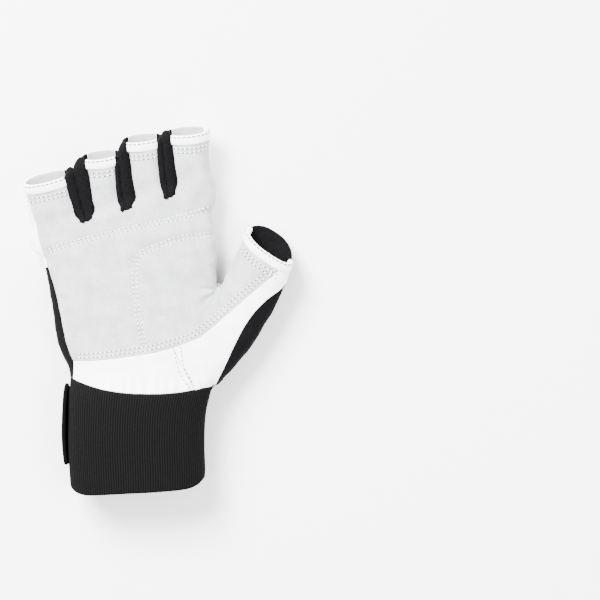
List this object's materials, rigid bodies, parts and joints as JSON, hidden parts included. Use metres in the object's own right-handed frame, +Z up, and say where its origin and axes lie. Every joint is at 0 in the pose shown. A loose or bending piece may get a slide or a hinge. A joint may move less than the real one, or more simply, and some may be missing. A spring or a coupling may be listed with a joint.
{
  "type": "fingerless weightlifting glove",
  "caption": "Fingerless right-hand sports glove with a quilted suede palm, black stretch back, bound finger openings and an elastic wrist cuff closed by a strap.",
  "frame": {"origin": "on the flat resting face, under the middle of the back of the hand", "axes": "+Y towards the fingertips, +X towards the thumb, +Z up out of the palm"},
  "size_m": [0.1492, 0.203, 0.0364],
  "materials": {
    "suede": "matt nubuck, light grey",
    "smooth_leather": "smooth, white",
    "stretch_cloth": "black stretch knit",
    "elastic": "black ribbed elastic",
    "hook_tape": "black hook tape"
  },
  "bodies": {
    "root": {"palm_leather": "suede", "heel_leather": "smooth_leather", "thumb_strip": "smooth_leather", "knuckle_leather": "smooth_leather", "back_cloth": "stretch_cloth", "gusset_little_ring": "stretch_cloth", "gusset_ring_middle": "stretch_cloth", "gusset_middle_index": "stretch_cloth", "little_binding": "smooth_leather", "ring_binding": "smooth_leather", "middle_binding": "smooth_leather", "index_binding": "smooth_leather", "thumb_binding": "smooth_leather", "wrist_cuff": "elastic", "wrist_strap": "elastic", "strap_tab": "hook_tape"}
  },
  "joints": []
}
